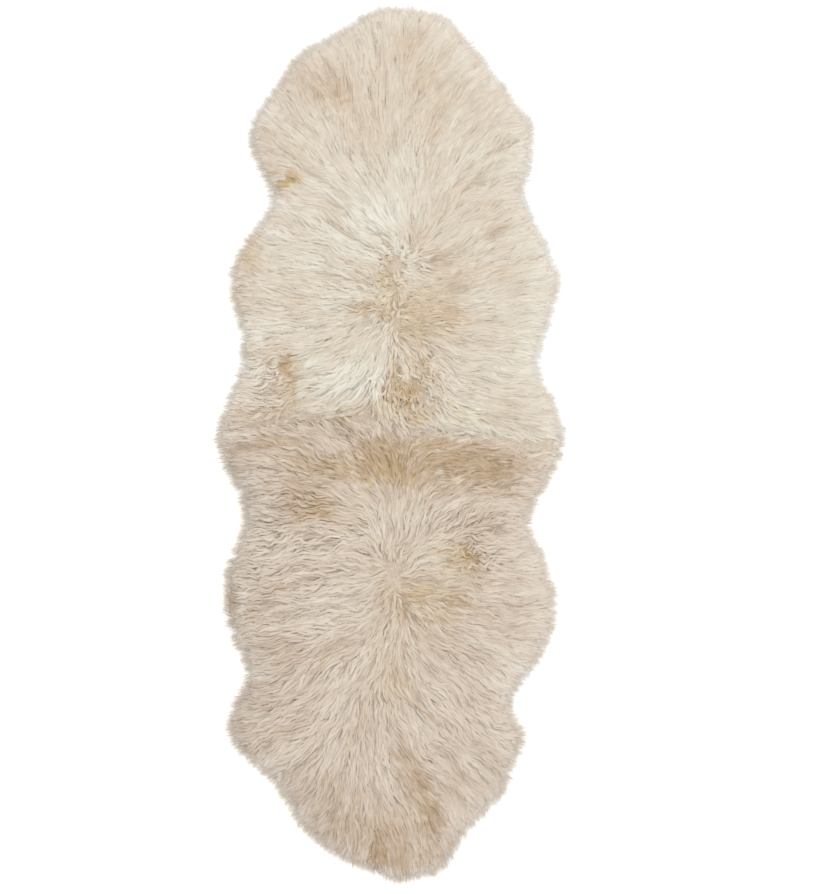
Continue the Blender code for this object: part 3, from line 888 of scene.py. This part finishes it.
def comb_locks(pelt, layer, rng):
    """The lying path of each lock, from its root along the combed direction."""
    x, y = lock_roots(pelt, layer, rng)
    cos, sin = pelt.comb
    count = len(x)
    curl, ruffle = read(pelt.curl, x, y), read(pelt.ruffle, x, y)
    length = rng.uniform(*LOCK_LENGTH, count) * (1 - 0.45 * curl)
    turn = np.radians(rng.normal(0, layer.stray * (0.4 + ruffle) + 25 * curl))
    pitch = rng.uniform(*LOCK_WAVE, count)
    phase = rng.uniform(0, 2 * np.pi, count)
    sway = np.radians(1 + 4 * ruffle + 30 * curl)
    bend = np.radians(rng.normal(0, 3 + 6 * ruffle + 28 * curl))
    steps = layer.segments + 2  # a little longer than the lock, for its longest wisps
    step = length / layer.segments
    path = np.empty((count, steps + 1, 2))
    path[:, 0, 0], path[:, 0, 1] = x, y
    for k in range(steps):
        px, py = path[:, k, 0], path[:, k, 1]
        gone = (k + 0.5) * step
        lie = LIE_NOISE * WANDER(px, py)
        lie += CRIMP * ruffle * read(pelt.crimp, px, py)
        angle = np.arctan2(read(sin, px, py), read(cos, px, py)) + turn + np.radians(lie)
        angle += sway * np.cos(2 * np.pi * gone / pitch + phase) + bend * gone / length
        path[:, k + 1, 0] = px + np.cos(angle) * step
        path[:, k + 1, 1] = py + np.sin(angle) * step
    size = rng.uniform(*LOCK_SIZE, count)
    shift = rng.normal(0, COLOUR_SHIFT, (2, count))
    tone = 0.05 * (0.5 + ruffle) * read(pelt.shades, x, y)
    tone += rng.normal(0, 0.015 + 0.025 * ruffle, count)
    return Locks(length, size, shift, tone, curl, ruffle, path)


def along_path(path, share, segments):
    """Points of each path at its own shares of a lock's length: (wisps, points, 2)."""
    place = np.clip(share * segments, 0, path.shape[1] - 1.001)
    i = place.astype(int)
    f = (place - i)[..., None]
    rows = np.arange(len(path))[:, None]
    before = path[rows, np.maximum(i - 1, 0)]
    start, end = path[rows, i], path[rows, i + 1]
    after = path[rows, np.minimum(i + 2, path.shape[1] - 1)]
    return 0.5 * (
        2 * start
        + (end - before) * f
        + (2 * before - 5 * start + 4 * end - after) * f**2
        + (3 * start - before - 3 * end + after) * f**3
    )


def unit(vectors):
    return vectors / (np.linalg.norm(vectors, axis=-1, keepdims=True) + 1e-9)


def stop_at(centre, past):
    """Shortens each wisp to end where the wool is as far inside the outline as past."""
    count, last = len(centre), centre.shape[1] - 1
    depth = read(DEPTH, centre[..., 0], centre[..., 1])
    beyond = depth < past[:, None]
    cut = beyond.any(1)
    first = np.where(cut, beyond.argmax(1), last)
    rows = np.arange(count)
    before = np.maximum(first - 1, 0)
    d0, d1 = depth[rows, before], depth[rows, first]
    inside = np.clip((d0 - past) / np.maximum(d0 - d1, 1e-6), 0, 1)
    end = np.where(cut, before + inside, last)
    end = np.maximum(end, 1.0)
    place = np.clip(np.linspace(0, 1, last + 1) * end[:, None], 0, last - 1e-4)
    i = place.astype(int)
    f = (place - i)[..., None]
    return centre[rows[:, None], i] * (1 - f) + centre[rows[:, None], i + 1] * f


def wisp_centres(locks, own, aside, layer, rng):
    """Each wisp's path from above: (wisps, points, 2)."""
    count = len(own)
    share = np.linspace(0, 1, layer.segments + 1)
    reach = rng.uniform(*WISP_REACH, count)
    start = rng.uniform(*layer.start, count)
    s = start[:, None] + (reach - start)[:, None] * share
    centre = along_path(locks.path[own], s, layer.segments)
    step = unit(np.gradient(centre, axis=1))
    square = np.stack([-step[..., 1], step[..., 0]], -1)
    gather = layer.gather * (0.15 + 1.2 * locks.ruffle[own])[:, None]
    held = layer.spread * (1 - gather * smoothstep(0.0, 0.9, s))
    offset = held * (locks.size[own] * aside)[:, None]

    # Its own fine wave, square to its path.
    pitch = rng.uniform(*WISP_WAVE, count)
    far = s * locks.length[own][:, None]
    turn = 2 * np.pi * (far / pitch[:, None] + rng.uniform(0, 1, count)[:, None])
    wave = rng.uniform(*WISP_WAVE_HEIGHT, count) * (1 + locks.ruffle[own] + locks.curl[own])
    offset += np.sin(turn) * wave[:, None] * (0.4 + share)
    past = layer.past - layer.thin * rng.uniform(0, 1, count)
    return stop_at(centre + square * offset[..., None], past)


def wisps(pelt, layer, locks, own, aside, name, rng):
    """One piece: tapered flat wisps, gathered towards the tips of their locks. aside is each
    wisp's place across its lock, from -1 to 1."""
    count = len(own)
    share = np.linspace(0, 1, layer.segments + 1)
    centre = wisp_centres(locks, own, aside, layer, rng)

    # Up out of the underwool, then lying over, and down to the floor past the hide.
    x, y = centre[..., 0], centre[..., 1]
    depth = read(DEPTH, x, y)
    tousle = 0.15 + 1.1 * locks.ruffle[own]
    low, top = layer.rise
    high = (low + top) / 2 + (top - low) * rng.uniform(-0.5, 0.5, count) * tousle
    high += layer.dome * tousle * (0.67 - aside**2)
    high += locks.curl[own] * rng.uniform(-0.002, 0.003, count)
    high *= 0.45 + 0.55 * np.minimum(locks.ruffle[own], 1)
    droop = rng.normal(0.0005, 0.0012, count)
    stand = -SUNK_ROOT + (high + SUNK_ROOT)[:, None] * smoothstep(-0.05, 0.42, share)
    stand -= droop[:, None] * share**2
    stand *= 0.30 + 0.70 * smoothstep(0.0, 0.045, depth)
    stand -= TUCK * pelt.tucked(x, y)
    z = np.clip(pelt.surface(x, y) + stand, LOWEST, HIGHEST)
    spine = np.stack([x, y, z], -1)

    # The ribbon's two edges.
    step = unit(np.gradient(spine, axis=1))
    level = unit(np.cross((0.0, 0.0, 1.0), step))
    up = np.cross(step, level)
    roll = np.radians(rng.normal(-24 * aside, layer.roll) * tousle)[:, None, None]
    side = level * np.cos(roll) + up * np.sin(roll)
    width = rng.uniform(*layer.width, count) * locks.size[own]
    taper = smoothstep(-0.35, 0.3, share) * (1 - 0.95 * share**3)
    half = side * (width[:, None] * taper / 2)[..., None]
    left, right = spine - half, spine + half
    for edge in (left, right):
        edge[..., 2] = np.maximum(edge[..., 2], LOWEST_EDGE)

    # Two points at each station and one at the tip, shaded as a rounded strand.
    points = np.stack([left, right], 2)[:, :-1].reshape(count, -1, 3)
    points = np.concatenate([points, spine[:, -1:]], 1)
    face = unit(0.6 * np.cross(step, side) + (0.0, 0.0, 0.4))
    round_off = (0.08 + 0.22 * tousle)[:, None, None] * side
    normals = np.stack([face - round_off, face + round_off], 2)[:, :-1]
    normals = np.concatenate([normals.reshape(count, -1, 3), face[:, -1:]], 1)
    each = points.shape[1]
    base = (np.arange(count) * each)[:, None]
    quads = [base + [2 * k, 2 * k + 2, 2 * k + 3, 2 * k + 1] for k in range(layer.segments - 1)]
    tips = base + [each - 3, each - 1, each - 2]

    # The palette: a wisp keeps its hue, and its tone deepens towards its root, partly the root's own
    # colour and partly painted shade deep in the fleece.
    shift_x, shift_y = locks.shift[:, own, None]
    tone = read(pelt.tone, x + shift_x, y + shift_y)
    # Random tone for each wisp, plus painted shade that darkens the outer wisps of each lock towards
    # its edges.
    shade = rng.normal(0, 0.02, count) + 0.05 * (0.33 - aside**2)
    tone += (locks.tone[own] + shade * tousle)[:, None]
    streak = (0.012 + 0.03 * locks.ruffle[own]) * read(pelt.streaks, x[:, 2], y[:, 2])
    tone += streak[:, None]
    # Darker towards the root: partly the root's own warmer colour, partly painted shade deep in the
    # fleece, more where the wool is tousled.
    root_colour_and_shade = (0.06 + 0.22 * locks.ruffle[own])[:, None]
    tone += 0.012 * share - root_colour_and_shade * smoothstep(0.45, 0.0, share)
    tone = np.clip(np.append(np.repeat(tone[:, :-1], 2, 1), tone[:, -1:], 1), 0.02, 0.98)
    hue = read(pelt.hue, x[:, -2] + shift_x[:, 0], y[:, -2] + shift_y[:, 0])
    hue = np.clip(hue + rng.normal(0, 0.02, count), 0.03, 0.97)[:, None]
    across = np.append(np.tile([-0.5, 0.5], layer.segments), 0.0)
    along = np.append(np.repeat(share[:-1], 2), 1.0)
    u = hue + HUE_PER_METRE * across * width[:, None]
    strand_u = 1000 * across * width[:, None] + rng.uniform(0, 500, count)[:, None]
    strand_v = 1000 * along * locks.length[own][:, None]
    maps = {
        PALETTE_MAP: np.stack([u, tone], -1).reshape(-1, 2),
        STRAND_MAP: np.stack([strand_u, strand_v], -1).reshape(-1, 2),
    }
    faces = [np.concatenate(quads), tips]
    piece = mesh_piece(name, points.reshape(-1, 3), faces, WOOL, maps)
    piece.data.normals_split_custom_set_from_vertices(unit(normals).reshape(-1, 3))
    return piece


def make_layer(pelt, layer, rng):
    """A layer's locks, in as many pieces as hold each to about PIECE_TRIANGLES or fewer."""
    locks = comb_locks(pelt, layer, rng)
    count = len(locks.length)
    own = np.tile(np.arange(count), layer.per_lock)
    row = np.repeat(np.arange(layer.per_lock), count)
    aside = 2 * (row + rng.uniform(0, 1, own.size)) / layer.per_lock - 1
    triangles = (2 * layer.segments - 1) * own.size
    parts = -(-triangles // PIECE_TRIANGLES)
    return [
        wisps(
            pelt, layer, locks, own[i::parts], aside[i::parts],
            f"{pelt.name}_{layer.name}_wool_{i + 1}", rng,
        )
        for i in range(parts)
    ]


def hide_heights(x, y):
    return np.zeros(x.shape), np.full(x.shape, HIDE_THICKNESS)


def underwool_heights(x, y):
    under = np.full(x.shape, HIDE_THICKNESS + 0.0003)
    return under, np.maximum(underwool_height(x, y), under + 0.001)


def make_pelt(name, rows, seed):
    rng = np.random.default_rng(seed)
    pelt = Pelt(name, rows, rng)
    hide = slab(name + "_hide", name, HIDE_INSET, hide_heights, HIDE, rows=48, columns=24)
    under = slab(
        name + "_underwool", name, UNDERWOOL_INSET, underwool_heights, UNDERWOOL, rows=70, columns=44
    )
    wool = [piece for layer in LAYERS for piece in make_layer(pelt, layer, rng)]
    return hide, under, wool


# -------- the rug
pelts = {
    "upper": make_pelt("upper", UPPER_COMB, SEED + 10),
    "lower": make_pelt("lower", LOWER_COMB, SEED + 20),
}
for pelt, (hide, under, wool) in pelts.items():
    for piece in [hide, under, *wool]:
        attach(piece, "root")
    for piece in [hide, under, *wool]:
        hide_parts("pelt_" + pelt)


# -------- studio
TABLE_GLOW = 0.45  # of a lit table under the rug
SKY_LIGHT = 0.72


def studio_floor():
    m = Nodes("floor")
    m.surface((0.93, 0.93, 0.93, 1), roughness=0.9, specular=0.1)
    m.shader.inputs["Emission Color"].default_value = (1, 1, 1, 1)
    m.shader.inputs["Emission Strength"].default_value = TABLE_GLOW
    half = 6.0
    corners = np.array([(-half, -half, 0), (half, -half, 0), (half, half, 0), (-half, half, 0)])
    floor = mesh_piece("floor", corners, [np.array([[0, 1, 2, 3]])], m.material)


def area_light(name, place, aim, size, power):
    lamp = bpy.data.lights.new(name, "AREA")
    lamp.shape = "SQUARE"
    lamp.size = size
    lamp.energy = power
    light = bpy.data.objects.new(name, lamp)
    light.location = place
    light.rotation_euler = (Vector(aim) - Vector(place)).to_track_quat("-Z", "Y").to_euler()
    bpy.context.scene.collection.objects.link(light)


def studio_light():
    world = bpy.data.worlds.new("studio")
    world.use_nodes = True
    sky = world.node_tree.nodes["Background"]
    sky.inputs["Color"].default_value = (1, 1, 1, 1)
    sky.inputs["Strength"].default_value = SKY_LIGHT
    bpy.context.scene.world = world
    area_light("key_light", place=(1.8, 1.5, 5.0), aim=(0, 0, 0), size=3.5, power=66)


def photo_camera():
    """Straight above, at the photograph's scale, from a photographer's distance."""
    scale = (CAD_BOX[1].y - CAD_BOX[0].y) / RUG_LENGTH_PX
    camera = bpy.data.cameras.new("camera")
    camera.sensor_fit = "VERTICAL"
    camera.sensor_height = 24
    camera.lens = 50
    seen = IMAGE_HEIGHT_PX * scale
    distance = seen * camera.lens / camera.sensor_height
    eye = bpy.data.objects.new("camera", camera)
    eye.location = (
        (IMAGE_CENTRE_PX[0] - RUG_CENTRE_PX[0]) * scale,
        (RUG_CENTRE_PX[1] - IMAGE_CENTRE_PX[1]) * scale,
        distance,
    )
    bpy.context.scene.collection.objects.link(eye)
    bpy.context.scene.camera = eye


studio_floor()
studio_light()
photo_camera()
bpy.context.scene.view_settings.view_transform = "Standard"
